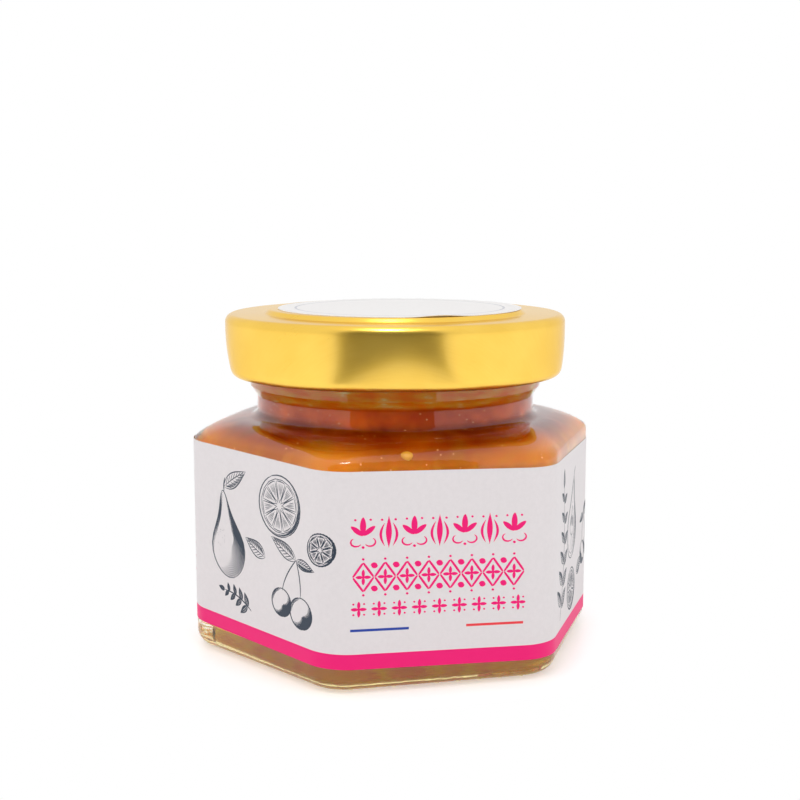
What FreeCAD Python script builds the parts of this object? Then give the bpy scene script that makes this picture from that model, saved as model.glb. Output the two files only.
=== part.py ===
import FreeCAD, Part
import math
import os

# A six-sided glass jam jar, filled and shut with a twist-off cap, with a paper label wrapped round
# its body and a round paper seal on its cap. Millimetres, +Z up, the origin under the middle of the
# base. A flat side faces -Y and the jar's widest corners point along X.

SIDES = 6
SIDE_ANGLE = 360.0 / SIDES
HALF_SIDE = math.radians(SIDE_ANGLE / 2)
FRONT = -90.0                   # direction of the front flat's outward normal, in degrees

# ---- driving sizes of the glass ----
ACROSS_FLATS = 59.9             # body, from flat to flat
CORNER_RADIUS = 7.0             # upright corners of the body, outside
JAR_HEIGHT = 53.5               # table to the lip, without the cap
WALL = 2.3                      # glass thickness of the sides, shoulder and neck
FLOOR_THICKNESS = 3.1           # glass between the bearing ring and the jam
HEEL_RADIUS = 2.3               # outside edge where the sides turn under
INNER_HEEL_RADIUS = 3.0         # inside edge where the sides meet the floor
BEARING_WIDTH = 2.6             # flat ring that the jar stands on
LEAST_CORNER = 0.5              # corners of the base's inner outlines are never sharper
PUSH_UP = 0.7                   # depth of the step inside the bearing ring
DOME_RISE = 0.5                 # further rise to the middle of the base
KNURL_HEIGHT = 0.3              # small bars that hold the bearing ring off the table
KNURL_FOOT = 0.55               # width of a bar where it touches the table
KNURL_ROOT = 1.2                # width of a bar where it leaves the ring
KNURL_SPACING = 3.4             # distance from bar to bar along the ring
KNURL_LENGTH = 2.3              # length of a bar across the ring
KNURL_SINK = 0.1                # how deep a bar is sunk into the ring
DOME_MARGIN = 1.0               # level ring between the push-up's step and its dome

# ---- shoulder, where the hexagon becomes a round neck ----
EDGE_RADIUS = 1.8               # first turn from the upright side to the shoulder
INNER_EDGE_RADIUS = 1.2         # the same turn on the inside of the glass
EDGE_TURN = 44.0                # degrees that this first turn takes up
CROWN_END_SLOPE = 1.0           # degrees of slope left where the shoulder meets the neck
NECK_FILLET = 1.3               # hollow turn from the shoulder up into the neck
NECK_RUN = 2.2                  # plain round neck above that hollow turn
SHOULDER_STEP = 0.75            # spacing of the sections that the shoulder is lofted through

# ---- finish: the round mouth that carries the cap ----
FINISH_DIAMETER = 48.0          # outside of the mouth, without its threads
BEAD_DEPTH = 1.1                # how far the mouth stands out from the neck
BEAD_SLOPE_HEIGHT = 1.6         # sloped underside of the bead
FINISH_HEIGHT = 10.75           # lower edge of the bead to the lip
LIP_ROUND = 0.8                 # rounding of the lip's two edges
THREAD_STARTS = 4
THREAD_DEPTH = 0.9              # crest height over the mouth's wall
THREAD_ROOT = 2.0               # width where a thread leaves the wall
THREAD_CREST = 0.8              # width of its crest
THREAD_ARC = 105.0              # degrees that each thread covers
THREAD_RISE = 2.9               # how far it climbs over that arc
THREAD_PHASE = 50.0             # direction of the first thread's low end, in degrees
THREAD_SINK = 0.3               # how deep a thread's foot is sunk into the wall
RIDGE_FADE = 0.16               # share of a thread or lug over which each end fades
RIDGE_END = 0.12                # share of the full height that is left at its very end

# ---- twist-off cap, pressed from thin sheet ----
SHEET = 0.25
CAP_HEIGHT = 9.9                # rolled edge to the outer ring of the top
CAP_TOP_RADIUS = 1.3            # outside bend from the top into the skirt
CURL_RADIUS = 1.4               # outside radius of the rolled edge
CURL_TURN = 262.0               # degrees that the edge is rolled round
CURL_CLEARANCE = 0.3            # rolled edge to thread crest
PANEL_MARGIN = 7.0              # cap's edge to the raised middle of the top
PANEL_RISE = 0.7                # height of that raised panel over the outer ring
PANEL_BEND = 0.6                # bends of the step round it
LUG_ARC = 19.0                  # degrees that one lug covers
LUG_CREST = 0.5                 # height of its nose
LUG_SINK = 0.5                  # how deep its foot is sunk into the rolled edge
LUG_OFFSET = 30.0               # degrees from a thread's low end to the lug's middle
LUG_CLEARANCE = 0.25            # lug's nose to the mouth's wall
LUG_SEAT = 0.05                 # lug's top to the thread's underside, measured upright
GASKET = 0.7                    # soft sealing ring between lip and cap
GASKET_OUTER_GAP = 1.1          # from the sealing ring to the inside of the skirt
GASKET_INNER_GAP = 0.4          # from the foot of the panel's step to the sealing ring

# ---- contents and paper ----
HEADSPACE = 5.3                 # lip to the jam's surface
PAPER = 0.1
LABEL_GAP = 33.0                # bare glass between the label's two ends, round the back flat
LABEL_BOTTOM = 3.7              # lower edge over the table, at the middle of the front flat
LABEL_TOP_GAP = 0.6             # upper edge to the end of the upright side, at the same place
LABEL_SLANT = -0.0215           # rise for each millimetre walked to the right
SEAL_MARGIN = 0.9               # edge of the panel to the round paper seal, if it sat in the middle
SEAL_OFFSET = (0.73, -0.17)     # the seal sits slightly off the cap's middle
FLAP_DIRECTION = -85.0          # towards the part of the seal's edge that has come unstuck
FLAP_LENGTH = 1.2               # from the fold to the seal's edge
FLAP_LIFT = 0.25                # how high that edge stands off the cap

# ---- sizes that follow from those ----
apothem = ACROSS_FLATS / 2
finish_radius = FINISH_DIAMETER / 2
crest_radius = finish_radius + THREAD_DEPTH
neck_radius = finish_radius - BEAD_DEPTH
bore_radius = neck_radius - WALL
ring_z = KNURL_HEIGHT
floor_z = ring_z + FLOOR_THICKNESS
bead_z = JAR_HEIGHT - FINISH_HEIGHT
neck_z = bead_z - BEAD_SLOPE_HEIGHT - NECK_RUN
jam_z = JAR_HEIGHT - HEADSPACE
cap_radius = crest_radius + CURL_CLEARANCE + 2 * CURL_RADIUS
cap_ring_z = JAR_HEIGHT + GASKET + SHEET
cap_top_z = cap_ring_z + PANEL_RISE
cap_bottom_z = cap_ring_z - CAP_HEIGHT
curl_inner_radius = cap_radius - 2 * CURL_RADIUS
lug_nose_radius = finish_radius + LUG_CLEARANCE
thread_slope = (THREAD_ROOT - THREAD_CREST) / 2 / (THREAD_DEPTH + THREAD_SINK)
pitch = THREAD_RISE / THREAD_ARC    # rise of a thread for each degree
panel_radius = cap_radius - PANEL_MARGIN
seal_radius = panel_radius - SEAL_MARGIN
outer_flat = 2 * (apothem - CORNER_RADIUS) * math.tan(HALF_SIDE)
outer_bend = CORNER_RADIUS * math.radians(SIDE_ANGLE)


def polar(angle, radius=1.0, z=0.0):
    """Point at a direction in degrees and a radius."""
    turn = math.radians(angle)
    return FreeCAD.Vector(radius * math.cos(turn), radius * math.sin(turn), z)


def arc_about(centre, radius, start, end):
    """Arc round a centre, level, between two directions in degrees."""
    middle = (start + end) / 2
    return Part.Arc(centre + polar(start, radius), centre + polar(middle, radius),
                    centre + polar(end, radius)).toShape()


def rounded_hexagon(flat_distance, corner, z, bulge=0.0):
    """Level outline of twelve edges: six sides and six round corners.

    With bulge 0 the sides are straight. Otherwise each side is an arc that turns by twice bulge
    degrees, and its radius follows so that it runs into the corner arcs without a kink.
    """
    edges = []
    part_turn = math.radians(SIDE_ANGLE / 2 - bulge)
    for side in range(SIDES):
        facing = FRONT + SIDE_ANGLE * side
        if bulge > 0:
            side_radius = flat_distance * math.sin(HALF_SIDE) - corner * math.sin(part_turn)
            side_radius = side_radius / (math.sin(HALF_SIDE) - math.sin(part_turn))
            side_centre = polar(facing, flat_distance - side_radius, z)
            edges.append(arc_about(side_centre, side_radius, facing - bulge, facing + bulge))
            corner_start = side_centre + polar(facing + bulge, side_radius)
        else:
            half = (flat_distance - corner) * math.tan(HALF_SIDE)
            middle = polar(facing, flat_distance, z)
            corner_start = middle + polar(facing + 90, half)
            edges.append(Part.makeLine(middle - polar(facing + 90, half), corner_start))
        corner_centre = corner_start - polar(facing + bulge, corner)
        edges.append(arc_about(corner_centre, corner, facing + bulge, facing + SIDE_ANGLE - bulge))
    return Part.Wire(edges)


def along_hexagon(flat_distance, corner, distance):
    """Point and outward direction, walking round the outline from the middle of the front flat."""
    flat = 2 * (flat_distance - corner) * math.tan(HALF_SIDE)
    bend = corner * math.radians(SIDE_ANGLE)
    side, rest = divmod(distance + flat / 2, flat + bend)
    facing = FRONT + SIDE_ANGLE * side
    if rest <= flat:
        return polar(facing, flat_distance) + polar(facing + 90, rest - flat / 2), facing
    outward = facing + math.degrees((rest - flat) / corner)
    centre = polar(facing, flat_distance - corner) + polar(facing + 90, flat / 2)
    return centre + polar(outward, corner), outward


def shoulder_arcs(inset):
    """The three arcs of the shoulder's half profile, on a surface inset from the glass's outside.

    Each arc is (centre distance, centre z, radius, first and last elevation of the outward normal),
    in order from the side to the neck: the edge's convex turn, a wide crown and the hollow turn
    into the neck. A negative radius marks the hollow one. The crown lies the inset lower, and both
    turns shrink if the shoulder is too narrow for them.
    """
    room = apothem - neck_radius
    edge = min(INNER_EDGE_RADIUS if inset > 0 else EDGE_RADIUS, room / 3)
    outer_hollow = min(NECK_FILLET, room / 3)
    hollow = min(outer_hollow + inset, room / 2)
    turn = math.radians(EDGE_TURN)
    flattest = math.radians(90 - CROWN_END_SLOPE)
    crown_run = room - edge * (1 - math.cos(turn)) - hollow * (1 - math.cos(flattest))
    crown = crown_run / (math.cos(turn) - math.cos(flattest))
    hollow_z = neck_z - outer_hollow - inset + hollow
    crown_z = hollow_z - (hollow + crown) * math.sin(flattest)
    crown_distance = neck_radius - inset + hollow - (hollow + crown) * math.cos(flattest)
    edge_z = crown_z + (crown - edge) * math.sin(turn)
    return [(apothem - inset - edge, edge_z, edge, 0, turn),
            (crown_distance, crown_z, crown, turn, flattest),
            (neck_radius - inset + hollow, hollow_z, -hollow, flattest, 0)]


def shoulder_profile(inset):
    """Evenly spaced points of the shoulder's half profile, as (flat distance, z).

    A few points on the straight side below and on the neck above keep both ends upright.
    """
    arcs = shoulder_arcs(inset)
    lengths = [abs(radius * (last - first)) for _, _, radius, first, last in arcs]
    steps = max(10, round(sum(lengths) / SHOULDER_STEP))
    spacing = sum(lengths) / steps
    side_top = arcs[0][1]
    points = [(apothem - inset, side_top - spacing * 2), (apothem - inset, side_top - spacing)]
    for step in range(steps + 1):
        walked = spacing * step
        for index, (distance, z, radius, first, last) in enumerate(arcs):
            if walked <= lengths[index] or index == len(arcs) - 1:
                lift = first + (last - first) * min(1.0, walked / lengths[index])
                points.append((distance + radius * math.cos(lift), z + radius * math.sin(lift)))
                break
            walked -= lengths[index]
    neck_start = arcs[-1][1]
    lead_out = min(spacing, NECK_RUN / 3)
    points.append((neck_radius - inset, neck_start + lead_out))
    points.append((neck_radius - inset, neck_start + lead_out * 2))
    return points


def hexagonal_body(inset, bottom_z, heel):
    """Sides and shoulder as two solids, on a surface inset from the outside of the glass.

    The sides are drawn down from the shoulder's own lower outline, so that the two meet exactly.
    Also returns the height of the shoulder's round top.
    """
    profile = shoulder_profile(inset)
    body_apothem = apothem - inset
    corner = CORNER_RADIUS - inset
    inner_neck = neck_radius - inset
    sections = []
    for distance, z in profile:
        roundness = min(1.0, max(0.0, (body_apothem - distance) / (body_apothem - inner_neck)))
        section_corner = corner + (inner_neck - corner) * roundness
        bulge = SIDE_ANGLE / 4 * roundness
        sections.append(rounded_hexagon(distance, section_corner, z, bulge))
    shoulder = Part.makeLoft(sections, True, False)

    lowest = min(shoulder.Faces, key=lambda face: face.CenterOfMass.z)
    sides = lowest.extrude(FreeCAD.Vector(0, 0, bottom_z - profile[0][1]))
    floor_edges = [edge for edge in sides.Edges if abs(edge.CenterOfMass.z - bottom_z) < 1e-6]
    sides = sides.makeFillet(heel, floor_edges)
    return sides, shoulder, profile[-1][1]


def revolved(points, arcs=()):
    """Solid of revolution about Z from (radius, z) points; arcs maps a point's index to the
    (radius, z) of a point half-way along the arc that leads from it to the next one."""
    arcs = dict(arcs)
    places = [FreeCAD.Vector(radius, 0, z) for radius, z in points]
    edges = []
    for index, start in enumerate(places):
        end = places[(index + 1) % len(places)]
        if index in arcs:
            radius, z = arcs[index]
            edges.append(Part.Arc(start, FreeCAD.Vector(radius, 0, z), end).toShape())
        else:
            edges.append(Part.makeLine(start, end))
    face = Part.Face(Part.Wire(edges))
    return face.revolve(FreeCAD.Vector(0, 0, 0), FreeCAD.Vector(0, 0, 1), 360)


def fading_ridge(base_radius, direction, depth, root, crest, start, arc, low_z, rise, sink):
    """Ridge on a round wall that climbs as it goes and fades in and out at its ends.

    direction is +1 for a ridge that stands outward and -1 for one that stands inward. Trapezoid
    sections, root wide at the wall and crest wide at the top, are lofted along the arc.
    """
    sections = []
    count = max(6, int(arc / 9))
    inner = base_radius - direction * sink
    for step in range(count + 1):
        t = step / count
        faded = min(1.0, RIDGE_END + (1 - RIDGE_END) * min(t, 1 - t) / RIDGE_FADE)
        outer = base_radius + direction * depth * faded
        angle = start + arc * t
        z = low_z + rise * t
        corners = [polar(angle, inner, z - root / 2), polar(angle, outer, z - crest / 2),
                   polar(angle, outer, z + crest / 2), polar(angle, inner, z + root / 2)]
        sections.append(Part.makePolygon(corners + corners[:1]))
    return Part.makeLoft(sections, True, False)


def knurl_bars():
    """Short bars across the bearing ring, evenly spaced, narrower where they touch the table."""
    ring_apothem = apothem - HEEL_RADIUS - BEARING_WIDTH / 2
    ring_corner = max(LEAST_CORNER, CORNER_RADIUS - HEEL_RADIUS - BEARING_WIDTH / 2)
    ring_flat = 2 * (ring_apothem - ring_corner) * math.tan(HALF_SIDE)
    perimeter = SIDES * (ring_flat + ring_corner * math.radians(SIDE_ANGLE))
    count = SIDES * round(perimeter / SIDES / KNURL_SPACING)
    top = KNURL_HEIGHT + KNURL_SINK
    section = [(-KNURL_ROOT / 2, top), (-KNURL_FOOT / 2, 0), (KNURL_FOOT / 2, 0), (KNURL_ROOT / 2, top)]
    corners = [FreeCAD.Vector(-KNURL_LENGTH / 2, across, z) for across, z in section]
    one_bar = Part.Face(Part.makePolygon(corners + corners[:1])).extrude(FreeCAD.Vector(KNURL_LENGTH, 0, 0))
    bars = []
    for index in range(count):
        place, outward = along_hexagon(ring_apothem, ring_corner, perimeter * index / count)
        bar = one_bar.copy()
        bar.Placement = FreeCAD.Placement(place, FreeCAD.Rotation(FreeCAD.Vector(0, 0, 1), outward))
        bars.append(bar)
    return bars


def base_hollow():
    """Push-up under the base: a shallow tapered step and a low dome, to be cut from the glass."""
    hollow_apothem = apothem - HEEL_RADIUS - BEARING_WIDTH
    hollow_corner = max(LEAST_CORNER, CORNER_RADIUS - HEEL_RADIUS - BEARING_WIDTH)
    dome_base = ring_z + PUSH_UP
    foot = rounded_hexagon(hollow_apothem, hollow_corner, ring_z)
    top = rounded_hexagon(hollow_apothem - PUSH_UP, hollow_corner, dome_base)
    step = Part.makeLoft([foot, top], True, True)
    dome_span = hollow_apothem - PUSH_UP - DOME_MARGIN
    dome_radius = (dome_span ** 2 + DOME_RISE ** 2) / (2 * DOME_RISE)
    middle = dome_span / 2
    middle_z = dome_base + math.sqrt(dome_radius ** 2 - middle ** 2) - (dome_radius - DOME_RISE)
    dome = revolved([(0, dome_base - PUSH_UP / 2), (dome_span, dome_base - PUSH_UP / 2),
                     (dome_span, dome_base), (0, dome_base + DOME_RISE)], {2: (middle, middle_z)})
    return step.fuse(dome)


def cavity():
    """Inside of the glass up through the mouth, with the inner rounding of the lip."""
    sides, shoulder, round_z = hexagonal_body(WALL, floor_z, INNER_HEEL_RADIUS)
    lip_mid = LIP_ROUND * (1 - math.sqrt(0.5))
    lip_edge = bore_radius + LIP_ROUND
    above = JAR_HEIGHT + LIP_ROUND
    mouth = revolved([(0, round_z), (bore_radius, round_z), (bore_radius, JAR_HEIGHT - LIP_ROUND),
                      (lip_edge, JAR_HEIGHT), (lip_edge, above), (0, above)],
                     {2: (bore_radius + lip_mid, JAR_HEIGHT - lip_mid)})
    return sides.fuse([shoulder, mouth]).removeSplitter()


def glass_jar():
    """Hexagonal body, round threaded mouth, hollow inside, knurled bearing ring under the base."""
    sides, shoulder, round_z = hexagonal_body(0, ring_z, HEEL_RADIUS)
    lip_mid = LIP_ROUND * (1 - math.sqrt(0.5))
    finish = revolved([(0, round_z), (neck_radius, round_z), (neck_radius, bead_z - BEAD_SLOPE_HEIGHT),
                       (finish_radius, bead_z), (finish_radius, JAR_HEIGHT - LIP_ROUND),
                       (finish_radius - LIP_ROUND, JAR_HEIGHT), (0, JAR_HEIGHT)],
                      {4: (finish_radius - lip_mid, JAR_HEIGHT - lip_mid)})
    outside = sides.fuse([shoulder, finish]).removeSplitter()

    threads = []
    for start in range(THREAD_STARTS):
        low_end = THREAD_PHASE + start * 360.0 / THREAD_STARTS
        threads.append(fading_ridge(finish_radius, 1, THREAD_DEPTH, THREAD_ROOT, THREAD_CREST,
                                    low_end, THREAD_ARC, thread_low_z(), THREAD_RISE, THREAD_SINK))
    glass = outside.fuse(threads)
    glass = glass.cut(cavity())
    glass = glass.cut(base_hollow())
    return glass.fuse(knurl_bars())


def thread_low_z():
    """Middle height of a thread's low end, set so that the cap's lug seats under it.

    Lug and thread have the same slope and the same pitch, so their faces lie parallel.
    """
    lug_middle_z = cap_bottom_z + CURL_RADIUS
    over_nose = THREAD_CREST / 2 + thread_slope * (crest_radius - lug_nose_radius)
    return lug_middle_z + LUG_CREST / 2 + LUG_SEAT + over_nose - pitch * LUG_OFFSET


def jam():
    """Set jam, which fills the glass up to its level."""
    below_level = Part.makeCylinder(ACROSS_FLATS, jam_z)
    return cavity().common(below_level)


def cap_sheet_profile():
    """Outside line of the cap's half profile, from the middle of the top to the rolled edge."""
    bend = PANEL_BEND
    quarter = math.sqrt(0.5)
    panel_end = panel_radius - bend * quarter
    drop = bend * (1 - quarter)
    slope = PANEL_RISE - 2 * drop
    foot = panel_radius + slope
    ring_start = foot + bend * quarter
    half_bend = math.radians(22.5)

    def point(radius, z):
        return FreeCAD.Vector(radius, 0, z)

    middle = point(0, cap_top_z)
    shelf = point(panel_end, cap_top_z)
    bend_run = bend * math.sin(half_bend)
    bend_drop = bend * (1 - math.cos(half_bend))
    shelf_bend = point(panel_end + bend_run, cap_top_z - bend_drop)
    slope_top = point(panel_radius, cap_top_z - drop)
    slope_foot = point(foot, cap_ring_z + drop)
    foot_bend = point(ring_start - bend_run, cap_ring_z + bend_drop)
    ring_in = point(ring_start, cap_ring_z)
    ring_out = point(cap_radius - CAP_TOP_RADIUS, cap_ring_z)
    top_mid = CAP_TOP_RADIUS * (1 - quarter)
    top_bend = point(cap_radius - top_mid, cap_ring_z - top_mid)
    skirt_top = point(cap_radius, cap_ring_z - CAP_TOP_RADIUS)
    curl_z = cap_bottom_z + CURL_RADIUS
    skirt_end = point(cap_radius, curl_z)
    curl_centre = point(cap_radius - CURL_RADIUS, curl_z)

    def on_curl(turned):
        angle = -math.radians(turned)
        return curl_centre + FreeCAD.Vector(CURL_RADIUS * math.cos(angle), 0, CURL_RADIUS * math.sin(angle))

    return Part.Wire([
        Part.makeLine(middle, shelf),
        Part.Arc(shelf, shelf_bend, slope_top).toShape(),
        Part.makeLine(slope_top, slope_foot),
        Part.Arc(slope_foot, foot_bend, ring_in).toShape(),
        Part.makeLine(ring_in, ring_out),
        Part.Arc(ring_out, top_bend, skirt_top).toShape(),
        Part.makeLine(skirt_top, skirt_end),
        Part.Arc(skirt_end, on_curl(CURL_TURN / 2), on_curl(CURL_TURN)).toShape(),
    ])


def cap():
    """Pressed cap: raised panel, skirt, rolled edge, and lugs that hook under the threads."""
    outside = cap_sheet_profile()
    sheet = outside.makeOffset2D(-SHEET, fill=True, openResult=True)
    if sheet.BoundBox.XMax > cap_radius + SHEET / 2:
        sheet = outside.makeOffset2D(SHEET, fill=True, openResult=True)
    body = sheet.revolve(FreeCAD.Vector(0, 0, 0), FreeCAD.Vector(0, 0, 1), 360)
    lugs = []
    lug_depth = curl_inner_radius - lug_nose_radius
    lug_root = LUG_CREST + 2 * thread_slope * (lug_depth + LUG_SINK)
    lug_rise = pitch * LUG_ARC
    lug_low_z = cap_bottom_z + CURL_RADIUS - lug_rise / 2
    for lug in range(THREAD_STARTS):
        start = THREAD_PHASE + LUG_OFFSET - LUG_ARC / 2 + lug * 360.0 / THREAD_STARTS
        lugs.append(fading_ridge(curl_inner_radius, -1, lug_depth, lug_root, LUG_CREST,
                                 start, LUG_ARC, lug_low_z, lug_rise, LUG_SINK))
    return body.fuse(lugs)


def gasket():
    """Sealing ring that the cap holds, resting on the lip."""
    outer = cap_radius - SHEET - GASKET_OUTER_GAP
    inner = panel_radius + PANEL_RISE + PANEL_BEND + GASKET_INNER_GAP
    high = JAR_HEIGHT + GASKET
    return revolved([(inner, JAR_HEIGHT), (outer, JAR_HEIGHT), (outer, high), (inner, high)])


def body_label():
    """Paper skin on the glass: a straight strip put on slightly slanted, so its edges are helices."""
    half_length = (SIDES * (outer_flat + outer_bend) - LABEL_GAP) / 2
    side_top = shoulder_arcs(0)[0][1]
    height = side_top - LABEL_TOP_GAP - LABEL_BOTTOM
    stops = {-half_length, half_length}
    for side in range(-SIDES, SIDES):
        middle = side * (outer_flat + outer_bend)
        for stop in (middle - outer_flat / 2, middle + outer_flat / 2):
            if abs(stop) < half_length:
                stops.add(stop)
    stops = sorted(stops)

    def rail_point(distance, lift, up):
        place, outward = along_hexagon(apothem, CORNER_RADIUS, distance)
        return place + polar(outward, lift, LABEL_BOTTOM + LABEL_SLANT * distance + up)

    def rail(start, end, lift, up):
        places = [rail_point(start + (end - start) * step / 6, lift, up) for step in range(7)]
        facings = [along_hexagon(apothem, CORNER_RADIUS, start + (end - start) * t)[1] for t in (0.25, 0.75)]
        if facings[0] == facings[1]:
            return Part.makeLine(places[0], places[-1])
        curve = Part.BSplineCurve()
        curve.interpolate(places)
        return curve.toShape()

    faces = []
    for start, end in zip(stops, stops[1:]):
        low_in = rail(start, end, 0, 0)
        low_out = rail(start, end, PAPER, 0)
        high_in = rail(start, end, 0, height)
        high_out = rail(start, end, PAPER, height)
        for one, other in ((low_in, high_in), (low_out, high_out), (low_in, low_out), (high_in, high_out)):
            faces.append(Part.makeRuledSurface(one, other))
    for end in (stops[0], stops[-1]):
        corners = [rail_point(end, 0, 0), rail_point(end, PAPER, 0),
                   rail_point(end, PAPER, height), rail_point(end, 0, height)]
        faces.append(Part.Face(Part.makePolygon(corners + corners[:1])))
    skin = Part.makeShell(faces)
    skin.sewShape()
    return Part.makeSolid(skin)


def lid_label():
    """Round paper seal on the cap's raised panel, with one part of its edge unstuck.

    A wide strip of paper, folded up along a straight line, is trimmed to the seal's round outline.
    """
    fold = seal_radius - FLAP_LENGTH
    edge_z = FLAP_LIFT * (seal_radius + PAPER - fold) / FLAP_LENGTH
    line = [(-seal_radius - PAPER, 0), (fold, 0), (seal_radius + PAPER, edge_z)]
    section = line + [(along, z + PAPER) for along, z in reversed(line)]
    corners = [FreeCAD.Vector(along, -seal_radius - PAPER, z) for along, z in section]
    strip = Part.Face(Part.makePolygon(corners + corners[:1]))
    strip = strip.extrude(FreeCAD.Vector(0, 2 * (seal_radius + PAPER), 0))
    seal = strip.common(Part.makeCylinder(seal_radius, FLAP_LIFT + 2 * PAPER))
    seal.rotate(FreeCAD.Vector(0, 0, 0), FreeCAD.Vector(0, 0, 1), FLAP_DIRECTION)
    seal.translate(FreeCAD.Vector(*SEAL_OFFSET, cap_top_z))
    return seal


NODES = {
    "glass_jar": glass_jar,
    "jam": jam,
    "cap": cap,
    "gasket": gasket,
    "body_label": body_label,
    "lid_label": lid_label,
}

os.makedirs("parts", exist_ok=True)
for node, make in NODES.items():
    shape = make()
    if shape.Volume < 0:
        shape.reverse()
    box = shape.BoundBox
    print(node, "solids", len(shape.Solids), "valid", shape.isValid(), "cm3", round(shape.Volume / 1000, 3),
          "x", round(box.XMin, 2), round(box.XMax, 2), "y", round(box.YMin, 2), round(box.YMax, 2),
          "z", round(box.ZMin, 2), round(box.ZMax, 2))
    shape.exportStep(os.path.join("parts", node + ".step"))
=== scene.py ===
# %% [markdown]
# # A filled jam jar
# A small six-sided glass jar of fruit jam, shut with a gold twist-off cap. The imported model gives
# every piece its size and place. This lesson dresses those pieces: it pours the jam so that it
# wets the glass, prints a paper label, and gives glass, tinplate, jam and paper their finish.

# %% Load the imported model
import math
import bmesh
import bpy
import numpy as np
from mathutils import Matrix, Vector
from mathutils.bvhtree import BVHTree


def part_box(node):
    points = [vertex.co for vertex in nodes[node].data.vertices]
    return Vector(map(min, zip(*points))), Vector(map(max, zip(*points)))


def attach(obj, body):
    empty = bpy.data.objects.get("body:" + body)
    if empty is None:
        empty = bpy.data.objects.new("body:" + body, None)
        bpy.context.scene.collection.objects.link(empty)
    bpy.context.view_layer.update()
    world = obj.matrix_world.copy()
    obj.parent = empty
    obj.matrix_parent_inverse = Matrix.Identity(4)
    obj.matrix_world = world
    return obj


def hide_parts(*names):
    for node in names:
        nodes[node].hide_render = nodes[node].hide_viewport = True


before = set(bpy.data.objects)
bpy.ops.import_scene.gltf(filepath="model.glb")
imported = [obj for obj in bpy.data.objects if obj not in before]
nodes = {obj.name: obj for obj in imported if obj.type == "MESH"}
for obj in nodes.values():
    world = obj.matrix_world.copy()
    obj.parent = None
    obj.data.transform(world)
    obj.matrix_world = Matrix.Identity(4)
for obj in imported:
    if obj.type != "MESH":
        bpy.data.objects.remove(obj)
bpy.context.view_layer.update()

MM = 0.001
print("nodes:", sorted(nodes))

# %% [markdown]
# ## Camera
# The jar stands a little turned, so that two of its flats show beside the front one. The camera is
# close, about four jar heights away, slightly above the cap and tipped down. Its place is given as
# a direction round the jar, a distance and a height.

# %% Camera
CAMERA_AZIMUTH = math.radians(-13.26)
CAMERA_DISTANCE = 230.4 * MM
CAMERA_HEIGHT = 73.0 * MM
CAMERA_TILT = math.radians(8.23)
CAMERA_PAN = math.radians(0.2)
CAMERA_LENS = 62.66


def around(azimuth, distance, height):
    """Point at a distance and height, in a direction turned from -Y towards +X by azimuth."""
    return Vector((math.sin(azimuth) * distance, -math.cos(azimuth) * distance, height))


camera = bpy.data.objects.new("camera", bpy.data.cameras.new("camera"))
bpy.context.scene.collection.objects.link(camera)
camera.data.lens = CAMERA_LENS
camera.data.sensor_width = 36
camera.data.clip_start = 0.01
camera.location = around(CAMERA_AZIMUTH, CAMERA_DISTANCE, CAMERA_HEIGHT)
camera.rotation_euler = (math.pi / 2 - CAMERA_TILT, 0, CAMERA_AZIMUTH - CAMERA_PAN)
bpy.context.scene.camera = camera
bpy.context.scene.view_settings.view_transform = "Standard"
print("camera at", [round(value / MM, 1) for value in camera.location])

# %% [markdown]
# ## Shader arithmetic
# A material is a graph of nodes, and long graphs are hard to read as code. This small class wraps
# one socket, so that `1 - mask * 0.5` adds the two Math nodes that work it out. Every other kind
# of node comes from `node`, which takes the node's type, its settings and its inputs.

# %% Sockets that can be added and multiplied


class Wire:
    """One output socket of a material's nodes, with arithmetic on it."""

    def __init__(self, tree, socket=None):
        self.tree = tree
        self.socket = socket

    def node(self, kind, inputs, out=0, **settings):
        """Adds a node: its settings first, then each input as a value or a Wire."""
        made = self.tree.nodes.new("ShaderNode" + kind)
        stops = settings.pop("stops", None)
        for name, value in settings.items():
            setattr(made, name, value)
        if stops:
            ramp = made.color_ramp
            while len(ramp.elements) < len(stops):
                ramp.elements.new(1)
            for element, (place, colour) in zip(ramp.elements, stops):
                element.position = place
                element.color = (*colour, 1) if len(colour) == 3 else colour
        for name, value in inputs.items():
            if isinstance(value, Wire):
                self.tree.links.new(value.socket, made.inputs[name])
            else:
                made.inputs[name].default_value = value
        return Wire(self.tree, made.outputs[out])

    def math(self, operation, *values):
        return self.node("Math", dict(enumerate(values)), operation=operation)

    def __add__(self, other):
        return self.math("ADD", self, other)

    __radd__ = __add__

    def __sub__(self, other):
        return self.math("SUBTRACT", self, other)

    def __rsub__(self, other):
        return self.math("SUBTRACT", other, self)

    def __mul__(self, other):
        return self.math("MULTIPLY", self, other)

    __rmul__ = __mul__

    def __truediv__(self, other):
        return self.math("DIVIDE", self, other)

    def __gt__(self, other):
        return self.math("GREATER_THAN", self, other)

    def __lt__(self, other):
        return self.math("LESS_THAN", self, other)

    def step(self, low, high):
        """0 below low, 1 above high and a smooth turn between, whichever of the two is larger."""
        inputs = {"Value": self, "From Min": low, "From Max": high}
        return self.node("MapRange", inputs, interpolation_type="SMOOTHSTEP")

    def blend(self, first, second):
        """Colour that goes from first to second as this number goes from 0 to 1."""
        return self.node("Mix", {0: self, 6: first, 7: second}, out=2, data_type="RGBA")

    def ramp(self, *stops):
        return self.node("ValToRGB", {0: self}, stops=stops)

    def axes(self):
        """The three numbers of a vector."""
        split = self.node("SeparateXYZ", {0: self}).socket.node
        return [Wire(self.tree, socket) for socket in split.outputs]

    def scaled(self, x, y, z):
        return self.node("VectorMath", {0: self, 1: (x, y, z)}, operation="MULTIPLY")


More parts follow.
